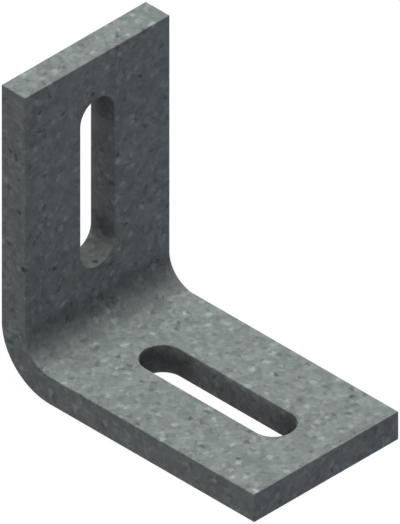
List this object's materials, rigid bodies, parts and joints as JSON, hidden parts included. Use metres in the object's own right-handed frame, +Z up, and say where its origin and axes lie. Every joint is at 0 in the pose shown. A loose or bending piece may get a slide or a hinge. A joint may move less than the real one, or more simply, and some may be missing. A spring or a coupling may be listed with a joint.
{
  "type": "strut angle fitting",
  "caption": "Flat bar folded to a right angle with equal legs, a long round-ended bolt slot through each leg and a hot-dip galvanised finish, for joining framing at a corner.",
  "frame": {"origin": "on the ground, under the middle of the box that holds the fitting: the underside of the base leg, halfway between the base leg's free end and the back of the upright, on the middle of the bar's width", "axes": "+X across the bar's width, +Y from the base leg's free end to the back of the upright, +Z up along the upright leg"},
  "size_m": [0.06, 0.105, 0.105],
  "materials": {
    "galvanised_steel": "hot-dip galvanised, dull mottled grey"
  },
  "bodies": {
    "root": {"angle_fitting": "galvanised_steel"}
  },
  "joints": []
}
